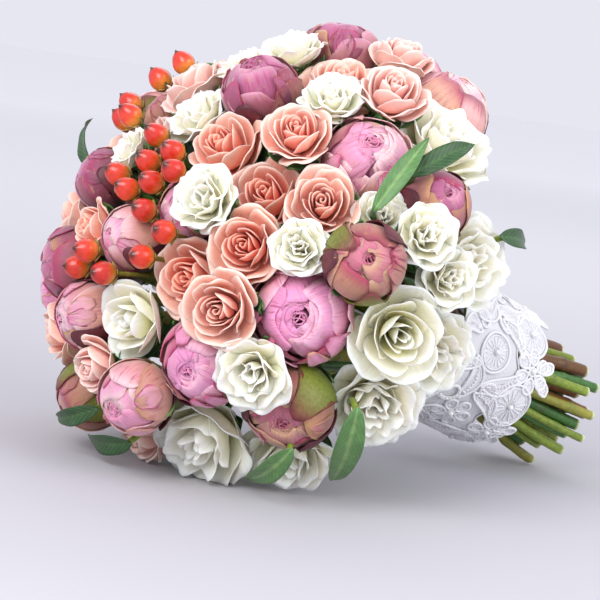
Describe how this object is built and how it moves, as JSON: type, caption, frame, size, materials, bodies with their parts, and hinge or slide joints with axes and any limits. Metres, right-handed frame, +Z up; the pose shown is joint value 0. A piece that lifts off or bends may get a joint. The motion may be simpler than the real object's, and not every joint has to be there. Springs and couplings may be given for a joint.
{
  "type": "bouquet of flowers",
  "caption": "Hand-tied round bouquet of peony buds, spray roses, lisianthus and hypericum berries, lying on its side, its stems wrapped in a white lace sleeve.",
  "frame": {"origin": "middle of the underside of the bouquet's bounding box, on the surface that the bouquet lies on", "axes": "+X along the handle, from the flower head towards the cut stem ends; +Z up; the flower head is at -X"},
  "size_m": [0.3328, 0.265, 0.2293],
  "materials": {
    "peony_petals": "satin",
    "rose_petals": "satin",
    "lisianthus_petals": "satin",
    "hypericum_berries": "gloss",
    "foliage_leaves": "satin",
    "floral_tape": "matte",
    "lace": "matte"
  },
  "bodies": {
    "root": {"peony_01": "peony_petals", "peony_02": "peony_petals", "peony_03": "peony_petals", "peony_04": "peony_petals", "peony_05": "peony_petals", "peony_06": "peony_petals", "peony_07": "peony_petals", "peony_08": "peony_petals", "peony_09": "peony_petals", "peony_10": "peony_petals", "peony_11": "peony_petals", "peony_12": "peony_petals", "peony_13": "peony_petals", "peony_14": "peony_petals", "peony_15": "peony_petals", "peony_16": "peony_petals", "peony_17": "peony_petals", "peony_18": "peony_petals", "peony_19": "peony_petals", "peony_20": "peony_petals", "peony_21": "peony_petals", "peony_22": "peony_petals", "spray_rose_01": "rose_petals", "spray_rose_02": "rose_petals", "spray_rose_03": "rose_petals", "spray_rose_04": "rose_petals", "spray_rose_05": "rose_petals", "spray_rose_06": "rose_petals", "spray_rose_07": "rose_petals", "spray_rose_08": "rose_petals", "spray_rose_09": "rose_petals", "spray_rose_10": "rose_petals", "spray_rose_11": "rose_petals", "spray_rose_12": "rose_petals", "spray_rose_13": "rose_petals", "lisianthus_01": "lisianthus_petals", "lisianthus_02": "lisianthus_petals", "lisianthus_03": "lisianthus_petals", "lisianthus_04": "lisianthus_petals", "lisianthus_05": "lisianthus_petals", "lisianthus_06": "lisianthus_petals", "lisianthus_07": "lisianthus_petals", "lisianthus_08": "lisianthus_petals", "lisianthus_09": "lisianthus_petals", "lisianthus_10": "lisianthus_petals", "lisianthus_11": "lisianthus_petals", "lisianthus_12": "lisianthus_petals", "lisianthus_13": "lisianthus_petals", "lisianthus_14": "lisianthus_petals", "hypericum_01": "hypericum_berries", "hypericum_02": "hypericum_berries", "hypericum_03": "hypericum_berries", "foliage_01": "foliage_leaves", "foliage_02": "foliage_leaves", "foliage_03": "foliage_leaves", "foliage_04": "foliage_leaves", "foliage_05": "foliage_leaves", "binding_tape": "floral_tape", "lace_wrap": "lace"}
  },
  "joints": []
}
